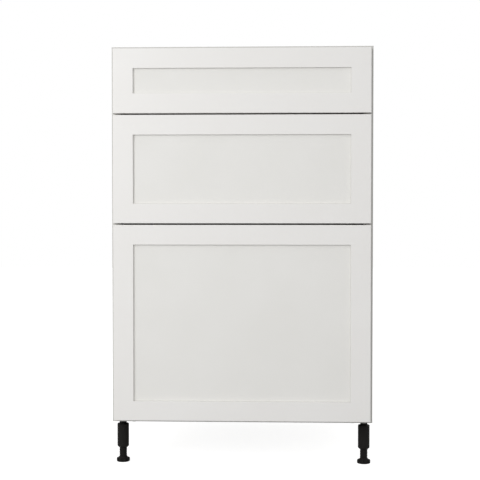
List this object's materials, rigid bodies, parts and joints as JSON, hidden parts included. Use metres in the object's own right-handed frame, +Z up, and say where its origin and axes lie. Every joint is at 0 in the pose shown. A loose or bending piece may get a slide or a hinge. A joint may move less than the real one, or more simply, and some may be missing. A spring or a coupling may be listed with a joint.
{
  "type": "base cabinet with drawers",
  "caption": "White fitted-kitchen base cabinet on black levelling legs, with framed drawer fronts and full-extension ball-bearing drawers.",
  "frame": {"origin": "on the floor, under the middle of the whole width and depth", "axes": "+Z up; the drawer fronts face -Y; +X to the right of someone facing the fronts"},
  "size_m": [0.5, 0.582, 0.808],
  "materials": {
    "lacquered_front": "satin white lacquer on fibreboard",
    "lacquered_panel": "matt white lacquer on a fibreboard panel",
    "white_board": "white melamine-faced chipboard, fine pearl texture",
    "box_board": "white melamine-faced chipboard, 15 mm",
    "edge_strip": "pale grey plastic edging strip",
    "hardboard": "hardboard, white-coated inside and bare brown outside",
    "runner_zinc": "zinc-plated rolled steel",
    "cage_steel": "bright pressed steel with polished balls",
    "screw_zinc": "zinc-plated screws",
    "cam_zinc": "die-cast zinc, dull",
    "beech": "turned beech",
    "leg_plastic": "moulded black plastic, matt",
    "bumper_rubber": "translucent soft pad"
  },
  "bodies": {
    "carcass": {"side_panel_left": "white_board", "side_panel_right": "white_board", "bottom_panel": "white_board", "top_rail_front": "white_board", "top_rail_rear": "white_board", "back_panel": "hardboard", "edge_bands": "edge_strip", "front_bumpers": "bumper_rubber", "cam_nuts": "cam_zinc", "cam_bolts": "screw_zinc", "carcass_dowels": "beech", "back_panel_screws": "screw_zinc", "cabinet_runner_members": "runner_zinc", "cabinet_runner_screws": "screw_zinc", "leg_sockets": "leg_plastic", "leg_sleeves": "leg_plastic", "leg_socket_screws": "screw_zinc"},
    "bottom_drawer": {"bottom_front_frame": "lacquered_front", "bottom_front_panel": "lacquered_panel", "bottom_box_side_left": "box_board", "bottom_box_side_right": "box_board", "bottom_box_front": "box_board", "bottom_box_back": "box_board", "bottom_box_bottom": "box_board", "bottom_box_screws": "screw_zinc", "bottom_drawer_members": "runner_zinc", "bottom_member_screws": "screw_zinc"},
    "bottom_runner_middle": {"bottom_middle_members": "runner_zinc"},
    "bottom_outer_cages": {"bottom_outer_ball_cages": "cage_steel"},
    "bottom_inner_cages": {"bottom_inner_ball_cages": "cage_steel"},
    "middle_drawer": {"middle_front_frame": "lacquered_front", "middle_front_panel": "lacquered_panel", "middle_box_side_left": "box_board", "middle_box_side_right": "box_board", "middle_box_front": "box_board", "middle_box_back": "box_board", "middle_box_bottom": "box_board", "middle_box_screws": "screw_zinc", "middle_drawer_members": "runner_zinc", "middle_member_screws": "screw_zinc"},
    "middle_runner_middle": {"middle_middle_members": "runner_zinc"},
    "middle_outer_cages": {"middle_outer_ball_cages": "cage_steel"},
    "middle_inner_cages": {"middle_inner_ball_cages": "cage_steel"},
    "top_drawer": {"top_front_frame": "lacquered_front", "top_front_panel": "lacquered_panel", "top_box_side_left": "box_board", "top_box_side_right": "box_board", "top_box_front": "box_board", "top_box_back": "box_board", "top_box_bottom": "box_board", "top_box_screws": "screw_zinc", "top_drawer_members": "runner_zinc", "top_member_screws": "screw_zinc"},
    "top_runner_middle": {"top_middle_members": "runner_zinc"},
    "top_outer_cages": {"top_outer_ball_cages": "cage_steel"},
    "top_inner_cages": {"top_inner_ball_cages": "cage_steel"},
    "foot_front_left": {"foot_front_left": "leg_plastic"},
    "foot_front_right": {"foot_front_right": "leg_plastic"},
    "foot_rear_left": {"foot_rear_left": "leg_plastic"},
    "foot_rear_right": {"foot_rear_right": "leg_plastic"}
  },
  "joints": [
    {"name": "bottom_drawer_slide", "type": "slide", "parent": "carcass", "child": "bottom_drawer", "axis": [0, -1, 0], "range_m": [0, 0.5]},
    {"name": "bottom_runner_middle_slide", "type": "slide", "parent": "carcass", "child": "bottom_runner_middle", "axis": [0, -1, 0], "range_m": [0, 0.25]},
    {"name": "bottom_outer_cages_slide", "type": "slide", "parent": "carcass", "child": "bottom_outer_cages", "axis": [0, -1, 0], "range_m": [0, 0.125]},
    {"name": "bottom_inner_cages_slide", "type": "slide", "parent": "carcass", "child": "bottom_inner_cages", "axis": [0, -1, 0], "range_m": [0, 0.375]},
    {"name": "middle_drawer_slide", "type": "slide", "parent": "carcass", "child": "middle_drawer", "axis": [0, -1, 0], "range_m": [0, 0.5]},
    {"name": "middle_runner_middle_slide", "type": "slide", "parent": "carcass", "child": "middle_runner_middle", "axis": [0, -1, 0], "range_m": [0, 0.25]},
    {"name": "middle_outer_cages_slide", "type": "slide", "parent": "carcass", "child": "middle_outer_cages", "axis": [0, -1, 0], "range_m": [0, 0.125]},
    {"name": "middle_inner_cages_slide", "type": "slide", "parent": "carcass", "child": "middle_inner_cages", "axis": [0, -1, 0], "range_m": [0, 0.375]},
    {"name": "top_drawer_slide", "type": "slide", "parent": "carcass", "child": "top_drawer", "axis": [0, -1, 0], "range_m": [0, 0.5]},
    {"name": "top_runner_middle_slide", "type": "slide", "parent": "carcass", "child": "top_runner_middle", "axis": [0, -1, 0], "range_m": [0, 0.25]},
    {"name": "top_outer_cages_slide", "type": "slide", "parent": "carcass", "child": "top_outer_cages", "axis": [0, -1, 0], "range_m": [0, 0.125]},
    {"name": "top_inner_cages_slide", "type": "slide", "parent": "carcass", "child": "top_inner_cages", "axis": [0, -1, 0], "range_m": [0, 0.375]},
    {"name": "foot_front_left_adjust", "type": "slide", "parent": "carcass", "child": "foot_front_left", "axis": [0, 0, 1], "range_m": [-0.01, 0.015]},
    {"name": "foot_front_right_adjust", "type": "slide", "parent": "carcass", "child": "foot_front_right", "axis": [0, 0, 1], "range_m": [-0.01, 0.015]},
    {"name": "foot_rear_left_adjust", "type": "slide", "parent": "carcass", "child": "foot_rear_left", "axis": [0, 0, 1], "range_m": [-0.01, 0.015]},
    {"name": "foot_rear_right_adjust", "type": "slide", "parent": "carcass", "child": "foot_rear_right", "axis": [0, 0, 1], "range_m": [-0.01, 0.015]}
  ],
  "couplings": [
    {"joint": "bottom_runner_middle_slide", "follows": "bottom_drawer_slide", "ratio": 0.5},
    {"joint": "bottom_outer_cages_slide", "follows": "bottom_drawer_slide", "ratio": 0.25},
    {"joint": "bottom_inner_cages_slide", "follows": "bottom_drawer_slide", "ratio": 0.75},
    {"joint": "middle_runner_middle_slide", "follows": "middle_drawer_slide", "ratio": 0.5},
    {"joint": "middle_outer_cages_slide", "follows": "middle_drawer_slide", "ratio": 0.25},
    {"joint": "middle_inner_cages_slide", "follows": "middle_drawer_slide", "ratio": 0.75},
    {"joint": "top_runner_middle_slide", "follows": "top_drawer_slide", "ratio": 0.5},
    {"joint": "top_outer_cages_slide", "follows": "top_drawer_slide", "ratio": 0.25},
    {"joint": "top_inner_cages_slide", "follows": "top_drawer_slide", "ratio": 0.75}
  ]
}
